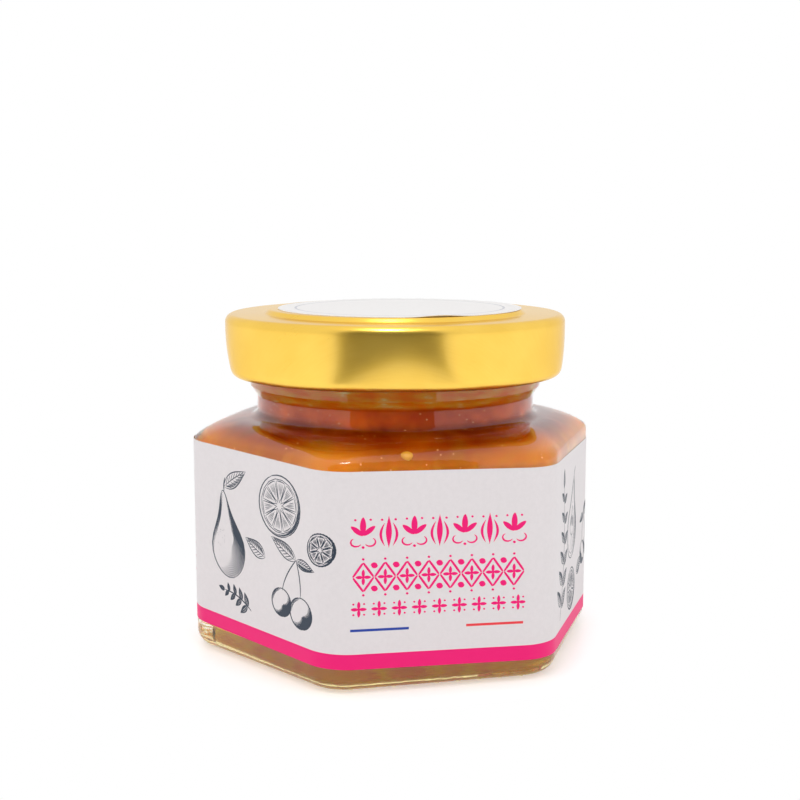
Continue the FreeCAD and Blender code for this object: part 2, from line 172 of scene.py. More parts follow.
def finish(name, **constants):
    """New material with one Principled shader; returns it, its Wire and the shader node."""
    material = bpy.data.materials.new(name)
    material.use_nodes = True
    tree = material.node_tree
    shader = tree.nodes["Principled BSDF"]
    for socket, value in constants.items():
        shader.inputs[socket.replace("_", " ")].default_value = value
    return material, Wire(tree), shader


def feed(shader, **links):
    """Links what changes over the surface to the shader's sockets."""
    for socket, wire in links.items():
        wire.tree.links.new(wire.socket, shader.inputs[socket.replace("_", " ")])


def object_place(wire):
    """Place on the piece in millimetres, from its Object coordinates."""
    place = wire.node("TexCoord", {}, out="Object")
    return place.scaled(1 / MM, 1 / MM, 1 / MM)


def noise(place, scale, detail=2.0, roughness=0.5, distortion=0.0):
    """Cloudy number from 0 to 1 at a place; scale is about how many clouds lie in a millimetre."""
    inputs = {"Vector": place, "Scale": scale, "Detail": detail, "Roughness": roughness,
              "Distortion": distortion}
    return place.node("TexNoise", inputs)


def bump(wire, height, strength, distance):
    return wire.node("Bump", {"Height": height, "Strength": strength, "Distance": distance})


# %% [markdown]
# ## Studio
# The jar stands in a light tent: a white table and white walls, a large soft box on each side, a
# third one high in front, and an opening in front for the camera. A small bare bulb high in front is
# there only for its mirror image. Glass and gold mirror the tent as plain white, except for a dark
# card, which stands where the opening is and which only reflections see. The camera sees table and
# walls as white paper: a strength of 1 from far off, and close by the lit table with the jar's own
# shadow.

# %% Table and walls
TABLE_REACH = 1.6
TABLE_POINTS = 96
TABLE_WHITE = (0.86, 0.86, 0.86, 1)
CORNER_SOFTNESS = 12 * MM       # rounds the hexagon in which the distance from the jar is measured
TABLE_GLOW = 0.34               # white added close to the jar, for the camera, mirrors and glass
SHADOW_REACH = (0.2 * MM, 8 * MM)      # outside the jar's foot, where the shadow goes over to white
WALL_TOP = 35.0                 # degrees above the table
WALL_FADE = 8.0
WALL_LIGHT = 0.30
ROOM_LIGHT = 0.50               # above the walls


def add_mesh(name, vertices, faces):
    """New object at the origin from vertex places and faces."""
    mesh = bpy.data.meshes.new(name)
    mesh.from_pydata([tuple(place) for place in vertices], [], [tuple(face) for face in faces])
    mesh.update()
    piece = bpy.data.objects.new(name, mesh)
    bpy.context.scene.collection.objects.link(piece)
    return piece


def ray_kinds(tree, *names):
    """1 where any of these kinds of ray meets the surface, else 0."""
    kinds = Wire(tree).node("LightPath", {}).socket.node
    picked = [Wire(tree, kinds.outputs["Is %s Ray" % name]) for name in names]
    total = picked[0]
    for wire in picked[1:]:
        total = total + wire
    return total.math("MINIMUM", total, 1.0)


def white_table():
    """Table that keeps the jar's shadow close by and is plain white for the camera further off.

    How far a place is from the jar is measured along the three directions that face the flats.
    """
    material, wire, shader = finish("white_table", Base_Color=TABLE_WHITE, Roughness=0.4)
    x, y, _ = wire.node("TexCoord", {}, out="Object").axes()
    slant, half_y = x * math.cos(math.pi / 6), y * 0.5
    distance = y.math("ABSOLUTE", y)
    for side in (slant + half_y, slant - half_y):
        distance = distance.math("SMOOTH_MAX", distance, side.math("ABSOLUTE", side),
                                 CORNER_SOFTNESS)
    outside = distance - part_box("glass_jar")[1].y
    far = outside.step(*SHADOW_REACH)
    seen = ray_kinds(wire.tree, "Camera", "Glossy", "Transmission")
    glow = wire.node("Emission", {"Color": (1, 1, 1, 1),
                                  "Strength": seen * TABLE_GLOW})
    lit = wire.node("AddShader", {0: Wire(wire.tree, shader.outputs[0]), 1: glow})
    paper_white = wire.node("Emission", {"Color": (1, 1, 1, 1), "Strength": 1.0})
    camera_only = ray_kinds(wire.tree, "Camera", "Transmission")
    surface = wire.node("MixShader", {0: far * camera_only, 1: lit, 2: paper_white})
    wire.tree.links.new(surface.socket, wire.tree.nodes["Material Output"].inputs["Surface"])
    return material


turn = np.linspace(0, 2 * np.pi, TABLE_POINTS, endpoint=False)
rim = TABLE_REACH * np.column_stack([np.cos(turn), np.sin(turn), np.zeros(TABLE_POINTS)])
table = add_mesh("table", rim, [range(TABLE_POINTS)])
table.data.materials.append(white_table())

world = bpy.data.worlds.new("light_tent")
bpy.context.scene.world = world
world.use_nodes = True
sky = Wire(world.node_tree)
rise = sky.node("TexCoord", {}, out="Generated").axes()[2]
wall_edges = [math.sin(math.radians(WALL_TOP + fade)) for fade in (WALL_FADE, 0)]
wall = rise.step(*wall_edges)
seen = ray_kinds(world.node_tree, "Camera", "Transmission")
glossy = ray_kinds(world.node_tree, "Glossy")
lit = (1 - glossy) * (ROOM_LIGHT + wall * (WALL_LIGHT - ROOM_LIGHT))
strength = sky.math("MAXIMUM", sky.math("MAXIMUM", seen, glossy), lit)
world.node_tree.links.new(strength.socket, world.node_tree.nodes["Background"].inputs["Strength"])
world.node_tree.nodes["Background"].inputs["Color"].default_value = (1, 1, 1, 1)

# %% Lamps


LIT_HEIGHT = 30 * MM            # the lamps point at this height on the jar's axis


def soft_box(name, azimuth, elevation, distance, width, height, radiance):
    """Flat lamp that faces the jar. Its radiance, times its area, gives its power.

    Both angles are in degrees, and the azimuth counts from the camera's.
    """
    lamp = bpy.data.objects.new(name, bpy.data.lights.new(name, "AREA"))
    bpy.context.scene.collection.objects.link(lamp)
    lamp.data.shape = "RECTANGLE"
    lamp.data.size = width
    lamp.data.size_y = height
    lamp.data.energy = radiance * math.pi * width * height
    target = Vector((0, 0, LIT_HEIGHT))
    level = around(CAMERA_AZIMUTH + math.radians(azimuth), math.cos(math.radians(elevation)), 0)
    lamp.location = target + (level + Vector((0, 0, math.sin(math.radians(elevation))))) * distance
    lamp.rotation_euler = (target - lamp.location).to_track_quat("-Z", "Y").to_euler()
    return lamp


for side, azimuth in (("left", -84), ("right", 76)):
    box = soft_box(side + "_soft_box", azimuth, elevation=22, distance=0.75,
                   width=1.2, height=0.9, radiance=0.85)
    box.visible_glossy = False      # reflections see the white tent there instead
high_box = soft_box("high_soft_box", -4, elevation=48, distance=0.70,
                    width=0.95, height=0.75, radiance=1.15)
high_box.visible_glossy = False
bulb = soft_box("bare_bulb", -9, elevation=74, distance=0.80, width=0.15, height=0.10, radiance=48)
bulb.visible_diffuse = False        # only its small mirror image is wanted
print("lamps:", [item.name for item in bpy.data.lights])

# %% Dark card in front, for reflections only
CARD_DISTANCE = 165 * MM
CARD_TOP = 250 * MM
CARD_POINTS = 32                # along its curved lower edge
card_edges = np.radians([-34.0, 29.0]) + CAMERA_AZIMUTH
turn = np.linspace(card_edges[0], card_edges[1], CARD_POINTS)
lower = np.column_stack([np.sin(turn), -np.cos(turn), np.zeros(CARD_POINTS)]) * CARD_DISTANCE
card = add_mesh("dark_card", np.concatenate([lower, lower + [0, 0, CARD_TOP]]),
                [(i, i + 1, i + 1 + CARD_POINTS, i + CARD_POINTS) for i in range(CARD_POINTS - 1)])
for kind in ("camera", "diffuse", "transmission", "shadow", "volume_scatter"):
    setattr(card, "visible_" + kind, False)
card_finish, _, _ = finish("dark_cloth", Base_Color=(0.27, 0.27, 0.26, 1), Roughness=1.0)
card.data.materials.append(card_finish)

# %% [markdown]
# ## Clean meshes
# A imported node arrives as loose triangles, and a turned surface has many points where it meets its
# axis. Welding merges such points. Then the surface can be shaded smoothly, and it can be swollen
# along its normals without opening cracks.

# %% Grid, weld, and copy with a swell


def grid_faces(rows, columns, start=0):
    """Corner numbers of the quads between neighbouring points of a rows by columns grid."""
    corner = np.arange(rows * columns).reshape(rows, columns)[:-1, :-1].ravel() + start
    return np.column_stack([corner, corner + 1, corner + 1 + columns, corner + columns])


def weld(piece, crease=35.0):
    """Merges points that coincide, turns the faces outward and smooths up to the crease angle."""
    shape = bmesh.new()
    shape.from_mesh(piece.data)
    bmesh.ops.remove_doubles(shape, verts=shape.verts, dist=2e-6)
    bmesh.ops.dissolve_degenerate(shape, edges=shape.edges, dist=1e-6)
    bmesh.ops.recalc_face_normals(shape, faces=shape.faces)
    shape.to_mesh(piece.data)
    shape.free()
    piece.data.shade_smooth()
    piece.data.set_sharp_from_angle(angle=math.radians(crease))
    return piece


def merged_copy(node, name, swell=0.0, crease=35.0):
    """A node's mesh, welded and moved out along its normals by swell."""
    piece = bpy.data.objects.new(name, nodes[node].data.copy())
    piece.data.name = name
    bpy.context.scene.collection.objects.link(piece)
    mesh = piece.data
    mesh.materials.clear()
    if mesh.has_custom_normals:
        mesh.attributes.remove(mesh.attributes["custom_normal"])
    weld(piece, crease)
    count = len(mesh.vertices)
    places = np.empty(count * 3)
    mesh.vertices.foreach_get("co", places)
    normals = np.empty(count * 3)
    mesh.vertices.foreach_get("normal", normals)
    mesh.vertices.foreach_set("co", places + normals * swell)
    mesh.update()
    return piece


# %% [markdown]
# ## Jam
# Fruit jam is cloudy: light goes in, wanders about and comes out orange. That is subsurface
# scattering. The jam fills the glass and wets it, so its surface reaches a tenth of a millimetre
# into the wall, and no film of air shows between them.

# %% Pour the jam
WETTING = 0.12 * MM
jam = merged_copy("jam", "fruit_jam", swell=WETTING)
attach(jam, "root")
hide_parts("jam")

# %% Colour of the jam
# Heights in millimetres where the jam's colour turns, from the shoulder up to the neck's bead. Over
# these heights the colours are painted light and painted shade, standing in for light that goes
# through the jam.
EDGE_Z = 31.5                   # the sides start to lean in
# From here up, the shoulder's crown is painted darker: painted shade where one looks down into deep
# jam.
CROWN_Z = 34.0                  # the shoulder looks up, and the eye goes deep
# From here up, the neck and its bead are painted lighter: painted light that comes through from
# behind, with brighter lumps of it at the bead.
NECK_Z = 38.5                   # the round neck
BEAD_Z = 42.0                   # the bead above the neck
# Out here the crown is painted lighter: painted light that comes through the thin jam.
THIN_REACH = (25.0, 32.0)       # from the axis; out there the jam under the shoulder is thin

# A pair is the darker and the lighter colour between which the jam's clouds go, and a single colour
# lies over such a pair. The foot's three stops are places on a ramp, each with its colour. These
# colours are painted light and shade: the foot's for light that comes up through the glass base, the
# thin, neck and bead ones for light that comes through from behind, and the crown's for shade in deep
# jam.
FOOT_JAM_PAINTED_LIGHT = (0.36, (0.86, 0.29, 0.14)), (0.48, (1.0, 0.45, 0.12)), (0.60, (1.0, 0.68, 0.03))
SIDE_JAM = (0.58, 0.18, 0.006, 1), (0.80, 0.34, 0.018, 1)
CROWN_JAM_PAINTED_SHADE = (0.26, 0.022, 0.0, 1), (0.46, 0.08, 0.0, 1)
CROWN_PATCH = (0.30, 0.075, 0.001, 1)
THIN_JAM_PAINTED_LIGHT = (0.80, 0.25, 0.012, 1)
NECK_JAM_PAINTED_LIGHT = (0.62, 0.08, 0.0, 1), (0.96, 0.19, 0.003, 1)
BEAD_JAM_PAINTED_LIGHT = (1.0, 0.23, 0.0, 1), (1.0, 0.40, 0.03, 1)
BEAD_LUMP_PAINTED_LIGHT = (1.0, 0.76, 0.30, 1)
jam_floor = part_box("jam")[0].z / MM


def cloudy_jam():
    material, wire, shader = finish(
        "fruit_jam", Roughness=0.4, IOR=1.06, Subsurface_Weight=1.0, Subsurface_Scale=0.9 * MM,
        Subsurface_Radius=(1.0, 0.38, 0.08))
    place = object_place(wire)
    x, y, z = place.axes()
    cloud = noise(place, 0.13, 3, 0.55)
    streaks = noise(place.scaled(0.7, 0.7, 1.0), 0.32, 4, 0.6, distortion=0.8)
    around_neck = wire.math("ARCTAN2", y, x)
    lumps = noise(wire.node("CombineXYZ", {0: around_neck * 5.0, 1: z * 0.7, 2: 0.0}), 1.0, 3, 0.5)
    height = z + (cloud - 0.5) * 2.0        # so that the colours don't meet in a level line
    side = (cloud * 0.5 + streaks * 0.5).step(0.40, 0.62).blend(*SIDE_JAM)
    foot = noise(place.scaled(0.42, 0.42, 1.3), 0.50, 3, 0.6, distortion=0.6).ramp(*FOOT_JAM_PAINTED_LIGHT)
    thin = wire.math("SQRT", x * x + y * y).step(*THIN_REACH)
    crown = cloud.step(0.35, 0.7).blend(*CROWN_JAM_PAINTED_SHADE)
    crown = noise(place, 0.09, 2).step(0.54, 0.68).blend(crown, CROWN_PATCH)
    crown = (thin * 0.9).blend(crown, THIN_JAM_PAINTED_LIGHT)
    neck = cloud.step(0.3, 0.7).blend(*NECK_JAM_PAINTED_LIGHT)
    bead = lumps.step(0.36, 0.62).blend(*BEAD_JAM_PAINTED_LIGHT)
    bead = lumps.step(0.58, 0.74).blend(bead, BEAD_LUMP_PAINTED_LIGHT)
    # The jam's colour by height is painted light and painted shade: a lighter foot, a darker crown,
    # and lighter thin edges, neck and bead.
    colour = z.step(jam_floor + 1.0, jam_floor + 5.0).blend(foot, side)
    colour = height.step(EDGE_Z + 1.0, CROWN_Z + 1.0).blend(colour, crown)
    colour = height.step(NECK_Z - 1.5, NECK_Z + 1.0).blend(colour, neck)
    colour = z.step(BEAD_Z - 0.5, BEAD_Z + 0.5).blend(colour, bead)
    feed(shader, Base_Color=colour)
    return material


jam.data.materials.append(cloudy_jam())
print("jam:", len(jam.data.vertices), "vertices")

# %% [markdown]
# ## Seeds and pulp in the jam
# One pale seed lies against the glass at the front of the shoulder, a few more lie round the jar, and
# crumbs of pulp lie all round it between the shoulder and the neck. Each is a small egg, set on the
# jam's surface so that half of it reaches into the glass, where the lamps catch it.

# %% Seeds and pulp
EGG_RINGS = 9                   # from pole to pole
EGG_SIDES = 14
EGG_THICKNESS = 0.6             # as a share of its width
BESIDE_JAR = 60 * MM            # where the level line starts that finds the jam's surface
CRUMBS = 150
jam_skin = BVHTree.FromPolygons([point.co for point in jam.data.vertices],
                                [face.vertices for face in jam.data.polygons])


def eggs(name, spots, colour):
    """One mesh of eggs that lie on the jam.

    Each spot is an azimuth, and a height, half length and half width in millimetres.
    """
    up = np.linspace(0, np.pi, EGG_RINGS)[:, None]
    turn = np.linspace(0, 2 * np.pi, EGG_SIDES, endpoint=False)[None, :]
    ball = np.stack([np.sin(up) * np.cos(turn), np.sin(up) * np.sin(turn), np.cos(up) + 0 * turn], -1)
    ring, side = np.divmod(grid_faces(EGG_RINGS, EGG_SIDES + 1), EGG_SIDES + 1)
    quads = ring * EGG_SIDES + side % EGG_SIDES         # the last column is the first one again
    places, faces = [], []
    for index, (azimuth, height, long, wide) in enumerate(spots):
        outward = around(azimuth, 1, 0)
        start = outward * BESIDE_JAR + Vector((0, 0, height * MM))
        spot, normal, _, _ = jam_skin.ray_cast(start, -outward)
        level = normal.cross(Vector((0, 0, 1))).normalized()
        axes = [level * long, normal.cross(level) * wide, normal * wide * EGG_THICKNESS]
        places.append((ball @ (np.array(axes) * MM) + np.array(spot)).reshape(-1, 3))
        faces.append(quads + index * EGG_RINGS * EGG_SIDES)
    piece = weld(add_mesh(name, np.concatenate(places), np.concatenate(faces)))
    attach(piece, "root")
    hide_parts("jam")
    material, _, _ = finish(name, Base_Color=colour, Roughness=0.5)
    piece.data.materials.append(material)
    print(name + ":", len(spots))


seed_spots = [(math.radians(-9.9), 34.6, 0.95, 0.65)]
seed_spots += [(math.radians(azimuth), height, 0.9, 0.6)
               for azimuth, height in ((98, 33.8), (121, 36.6), (163, 34.4), (236, 36.2))]
chance = np.random.default_rng(5)
crumb_spots = np.column_stack([chance.uniform(low, high, CRUMBS) for low, high in (
    (0, 2 * math.pi), (33.0, 41.0), (0.07, 0.18), (0.05, 0.12))])
eggs("seeds", seed_spots, (0.80, 0.36, 0.0, 1))
eggs("pulp_crumbs", crumb_spots, (0.95, 0.45, 0.12, 1))

# %% [markdown]
# ## Glass
# Clear soda-lime glass, with the faint yellow-green of its iron where one looks along it. The
# glass lets the lamps' light straight through to the jam, which a plain glass shader would block.

# %% Glass finish


FOOT_Z = (4.5, 2.5)             # mm; the solid foot, where one looks through the most glass
THIN_GLASS = (0.975, 0.985, 0.93, 1)
FOOT_GLASS = (0.96, 0.82, 0.36, 1)


def clear_glass():
    """Clear glass with the soft waves of moulded ware, and finer ripples in its solid foot."""
    material, wire, shader = finish(
        "clear_glass", Roughness=0.02, IOR=1.52, Transmission_Weight=1.0)
    place = object_place(wire)
    waves = noise(place, 0.16, 1)
    foot = place.axes()[2].step(*FOOT_Z)
    ripples = noise(place, 0.9, 2) * foot
    feed(shader, Normal=bump(wire, waves * 0.6 + ripples, 0.25, 0.2 * MM),
         Base_Color=foot.blend(THIN_GLASS, FOOT_GLASS))
    rays = wire.node("LightPath", {}).socket.node
    shadow = Wire(wire.tree, rays.outputs["Is Shadow Ray"])
    open_air = wire.node("BsdfTransparent", {"Color": (0.93, 0.94, 0.88, 1)})
    mixed = wire.node("MixShader", {0: shadow, 1: Wire(wire.tree, shader.outputs[0]), 2: open_air})
    wire.tree.links.new(mixed.socket, wire.tree.nodes["Material Output"].inputs["Surface"])
    return material


glass = merged_copy("glass_jar", "jar_glass", crease=25.0)
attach(glass, "root")
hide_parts("glass_jar")
glass.data.materials.append(clear_glass())

# %% [markdown]
# ## Cap
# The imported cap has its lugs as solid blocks. A real lug is the rolled edge itself, pressed inward
# at four places, and the press leaves a shallow dent in the skirt above it. So the sheet is turned
# here again from the same half profile, and then pushed in at the four places.

# %% Turn the sheet
SHEET = 0.25 * MM
TOP_BEND = 1.3 * MM
CURL = 1.4 * MM                 # radius of the rolled edge
CURL_TURN = 262                 # degrees
PANEL_RADIUS = 21.0 * MM
PANEL_RISE = 0.7 * MM
PANEL_BEND = 0.6 * MM
FIRST_LUG = math.radians(80)
LUG_DEPTH = 0.95 * MM
LUG_HALF = 9.5                  # degrees either side of a lug's middle
DENT_DEPTH = 0.95 * MM
DENT_HALF = 15.0                # degrees, at the rolled edge
DENT_POWER = 2.4                # how slowly the dent begins below the top bend
KEPT_INSIDE = 0.01 * MM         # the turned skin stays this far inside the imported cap

cap_low, cap_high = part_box("cap")
cap_radius = cap_high.x - KEPT_INSIDE


def arc_line(radius, z, bend, start, end, count):
    """Points (radius, z) of an arc in the half profile, between two directions in degrees."""
    turn = np.radians(np.linspace(start, end, count))
    return np.column_stack([radius + bend * np.cos(turn), z + bend * np.sin(turn)])


def cap_profile():
    """Outside line of the half profile, from the middle of the top down to the rolled edge's end."""
    top, ring = cap_high.z, cap_high.z - PANEL_RISE
    shelf = PANEL_RADIUS - PANEL_BEND * math.sqrt(0.5)
    foot = PANEL_RADIUS + PANEL_RISE - 2 * PANEL_BEND * (1 - math.sqrt(0.5))
    ring_start = foot + PANEL_BEND * math.sqrt(0.5)
    curl_z = cap_low.z + CURL
    middle = np.column_stack([np.linspace(0, shelf, 6)[:-1], np.full(5, top)])
    skirt = np.linspace(ring - TOP_BEND, curl_z, 18)[1:-1]
    return np.concatenate([
        middle,
        arc_line(shelf, top - PANEL_BEND, PANEL_BEND, 90, 45, 6),
        arc_line(ring_start, ring + PANEL_BEND, PANEL_BEND, 225, 270, 6),
        arc_line(cap_radius - TOP_BEND, ring - TOP_BEND, TOP_BEND, 90, 0, 14),
        np.column_stack([np.full(16, cap_radius), skirt]),
        arc_line(cap_radius - CURL, curl_z, CURL, 0, -CURL_TURN, 40)])


def thickened(line, thickness):
    """Closed half profile of a sheet: the line, and back along its copy moved to its right."""
    along = np.gradient(line, axis=0)
    along = along / np.linalg.norm(along, axis=1, keepdims=True)
    inside = line + np.column_stack([along[:, 1], -along[:, 0]]) * thickness
    inside[0, 0] = 0
    return np.concatenate([line, inside[::-1]])


def pressed_in(places):
    """The sheet, pushed towards the axis at the lugs.

    The dent is a bell on the skirt: nothing at the top bend, widest and deepest at the rolled edge.
    The rolled edge's inner half goes further in, which makes the lug.
    """
    quarter = math.pi / 2
    turn = np.arctan2(places[..., 1], places[..., 0])
    radius = np.hypot(places[..., 0], places[..., 1])
    z = places[..., 2]
    across = np.degrees(np.abs((turn - FIRST_LUG + quarter / 2) % quarter - quarter / 2))
    skirt_top = cap_high.z - PANEL_RISE - TOP_BEND
    down = np.clip((skirt_top - z) / (skirt_top - cap_low.z - 0.8 * CURL), 0, 1)
    dent = DENT_DEPTH * down ** DENT_POWER * np.exp(-(across / (DENT_HALF * (0.4 + 0.6 * down))) ** 2)
    inner = np.clip((cap_radius - 1.2 * CURL - radius) / (0.8 * CURL), 0, 1)
    inner = inner * (z < cap_low.z + 2.3 * CURL) * (radius > cap_radius - 3 * CURL)
    nose = np.clip(1.25 - across / LUG_HALF, 0, 1)
    push = dent + (LUG_DEPTH - dent) * inner * (3 - 2 * nose) * nose ** 2
    share = 1 - push / np.maximum(radius, 1 * MM)
    return places * np.stack([share, share, 1 + 0 * share], -1)


def turned(name, profile, directions, reshape):
    """Closed skin round Z: the half profile is set up in all directions, then reshaped."""
    turn = np.arange(directions)[:, None] * 2 * np.pi / directions
    radius, z = profile[:, 0][None, :], profile[:, 1][None, :]
    places = np.stack([radius * np.cos(turn), radius * np.sin(turn), z + 0 * turn], -1)
    columns = profile.shape[0]
    faces = grid_faces(directions + 1, columns) % (directions * columns)
    return weld(add_mesh(name, reshape(places).reshape(-1, 3), faces))


cap = turned("gold_cap", thickened(cap_profile(), SHEET), 576, pressed_in)
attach(cap, "root")
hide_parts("cap")
print("cap:", len(cap.data.polygons), "faces")

# %% [markdown]
# ## Gold tinplate
# Tinplate is rolled, so the sheet carries a fine straight grain before it is pressed. Folding the
# skirt down carries the grain over the edge, so a point of the skirt is looked up where it lay on
# the flat blank. A clear lacquer, tinted gold, covers the metal.

# %% Gold tinplate
GRAIN = math.radians(-13)       # direction in which the sheet was rolled
DARK_GOLD = (0.91, 0.575, 0.080, 1)
LIGHT_GOLD = (0.97, 0.64, 0.105, 1)


def gold_tinplate():
    material, wire, shader = finish("gold_tinplate", Metallic=1.0, Anisotropic=0.5,
                                    Anisotropic_Rotation=0.25, Coat_Weight=0.4,
                                    Coat_Roughness=0.1, Specular_Tint=(0.86, 0.74, 0.46, 1))
    place = object_place(wire)
    x, y, z = place.axes()
    radius = wire.math("SQRT", x * x + y * y)
    depth = wire.math("MAXIMUM", cap_high.z / MM - z, 0.0)
    stretch = 1 + depth / (radius + 0.001)
    rolled = (x * math.cos(GRAIN) + y * math.sin(GRAIN)) * stretch
    across = (y * math.cos(GRAIN) - x * math.sin(GRAIN)) * stretch
    blank = wire.node("CombineXYZ", {0: rolled, 1: across, 2: 0.0})
    grain = noise(blank.scaled(0.22, 3.8, 1), 1.0, 3, 0.65)
    patches = noise(place, 0.12, 2)
    feed(shader, Roughness=0.24 + grain * 0.06 + patches * 0.04,
         Normal=bump(wire, grain, 0.04, 0.012 * MM),
         Base_Color=(patches * 0.7 + grain * 0.3).step(0.3, 0.7).blend(DARK_GOLD, LIGHT_GOLD))
    return material


cap.data.materials.append(gold_tinplate())


def dress(node, material):
    mesh = nodes[node].data
    mesh.materials.clear()
    mesh.materials.append(material)


dress("gasket", finish("sealing_ring", Base_Color=(0.72, 0.70, 0.64, 1), Roughness=0.6)[0])

# %% [markdown]
# ## Paper label
# The label is one straight strip of satin paper, wrapped round five of the six flats and put on
# slightly slanted. A point of the label is known by how far one walks round the glass from the
# middle of the front flat, and how far up the strip it lies. Both numbers also make the UV map, so
# that the print follows the paper round the corners.

# %% Walk round the glass
CORNER_RADIUS = 7.0 * MM        # upright corners of the glass
LABEL_LENGTH = 170.0 * MM
LABEL_SLANT = -0.0215
PAPER = 0.08 * MM               # front of the paper over the glass
PRESSED = 0.012 * MM            # back of the paper over the glass
PACKED_PAPER = 0.1 * MM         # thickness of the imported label

label_low, label_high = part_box("body_label")
apothem = -label_low.y - PACKED_PAPER
slant_drop = abs(LABEL_SLANT) * LABEL_LENGTH
label_height = label_high.z - label_low.z - slant_drop
label_bottom = label_low.z + slant_drop / 2
flat_width = 2 * (apothem - CORNER_RADIUS) * math.tan(math.pi / 6)
bend_width = CORNER_RADIUS * math.pi / 3
print("label height in mm:", round(label_height / MM, 2), "flat:", round(flat_width / MM, 2))


def on_label(along, up, lift):
    """Places on the strip, walked along the glass and up from its lower edge, lifted off the glass.

    The walk is split into sides, each a flat and the round corner after it. On the flat the
    outward direction stays, and along the corner it turns by the walked length over its radius.
    """
    side = np.floor((along + flat_width / 2) / (flat_width + bend_width))
    rest = along + flat_width / 2 - side * (flat_width + bend_width)
    facing = -np.pi / 2 + side * np.pi / 3
    outward = facing + np.maximum(rest - flat_width, 0) / CORNER_RADIUS
    slide = np.minimum(rest, flat_width) - flat_width / 2
    reach = CORNER_RADIUS + lift
    inner = apothem - CORNER_RADIUS
    x = inner * np.cos(facing) - slide * np.sin(facing) + reach * np.cos(outward)
    y = inner * np.sin(facing) + slide * np.cos(facing) + reach * np.sin(outward)
    z = label_bottom + LABEL_SLANT * along + up
    return np.stack([x, y, z + 0 * x], -1)


def add_uv(piece, vertex_uv):
    layer = piece.data.uv_layers.new(name="print")
    corners = np.empty(len(piece.data.loops), dtype=int)
    piece.data.loops.foreach_get("vertex_index", corners)
    layer.data.foreach_set("uv", np.asarray(vertex_uv, dtype=float)[corners].ravel())


# %% Cut and wrap the strip
COLUMNS = 481
ROWS = 25
along, up = np.meshgrid(np.linspace(-0.5, 0.5, COLUMNS) * LABEL_LENGTH,
                        np.linspace(0, 1, ROWS) * label_height)
front = on_label(along, up, PAPER)
back = on_label(along, up, PRESSED)
vertices = np.concatenate([front.reshape(-1, 3), back.reshape(-1, 3)])
count = ROWS * COLUMNS
border = np.concatenate([np.arange(COLUMNS), np.arange(1, ROWS) * COLUMNS + COLUMNS - 1,
                         count - 2 - np.arange(COLUMNS - 1), np.arange(ROWS - 2, -1, -1) * COLUMNS])
edge = np.column_stack([border[1:], border[:-1], border[:-1] + count, border[1:] + count])
faces = np.concatenate([grid_faces(ROWS, COLUMNS), grid_faces(ROWS, COLUMNS, count)[:, ::-1], edge])
label = add_mesh("paper_label", vertices, faces)
label.data.shade_smooth()
label.data.set_sharp_from_angle(angle=math.radians(40))
uv = np.stack([along / LABEL_LENGTH + 0.5, up / label_height], -1).reshape(-1, 2)
add_uv(label, np.concatenate([uv, uv]))
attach(label, "root")
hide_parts("body_label")
print("label:", len(label.data.polygons), "faces")

# %% [markdown]
# ## Print on the paper
# The plain fields of the print are part of the paper's colour: a pink band along the lower edge
# and two short rules under the front's ornament. They are boxes in millimetres on the strip.

# %% Paper and its plain print
PAPER_WHITE = (0.79, 0.745, 0.755, 1)
PINK = (0.90, 0.003, 0.18, 1)
SLATE = (0.030, 0.043, 0.068, 1)
BAND_HEIGHT = 2.35
RULE_Z = 6.0
RULE_WEIGHT = 0.36
BLUE_RULE = (-13.9, -5.0, (0.012, 0.05, 0.36, 1))
RED_RULE = (3.85, 12.85, (0.85, 0.05, 0.06, 1))


def satin_paper(name, white, printed):
    """Coated paper; printed is given the place on it and the colour so far, and adds the print."""
    material, wire, shader = finish(name, Specular_IOR_Level=0.35)
    place = object_place(wire)
    fibres = noise(place, 1.3, 4, 0.65)
    cockle = noise(place, 0.12, 2)
    shaded = tuple(0.97 * share for share in white[:3]) + (1,)
    colour = printed(place, fibres.step(0.3, 0.7).blend(shaded, white))
    feed(shader, Base_Color=colour, Roughness=0.42 + fibres * 0.12,
         Normal=bump(wire, fibres * 0.25 + cockle, 0.10, 0.15 * MM))
    return material


def band_and_rules(place, colour):
    u, v, _ = place.node("UVMap", {}, uv_map="print").axes()
    walk = (u - 0.5) * (LABEL_LENGTH / MM)
    high = v * (label_height / MM)
    off_rule = place.math("ABSOLUTE", high - RULE_Z)
    on_rule = off_rule.step(RULE_WEIGHT / 2 + 0.03, RULE_WEIGHT / 2)
    for start, end, ink in (BLUE_RULE, RED_RULE):
        colour = (on_rule * (walk > start) * (walk < end)).blend(colour, ink)
    return high.step(BAND_HEIGHT + 0.02, BAND_HEIGHT - 0.02).blend(colour, PINK)


label.data.materials.append(satin_paper("label_paper", PAPER_WHITE, band_and_rules))

# %% [markdown]
# ## Drawings in ink
# The flats beside the front carry fruit drawn with a pen, in slate, and the front carries three
# rows of pink ornament. A pen line starts thin, swells and ends thin. Each line here is a narrow
# strip with a raised middle, a few hundredths of a millimetre over the paper, and its two edges are
# sunk into the paper. That keeps the edges of the print sharp however close one looks.

# %% Pen
PEN_LIFT = 0.097 * MM
PEN_SINK = 0.07 * MM


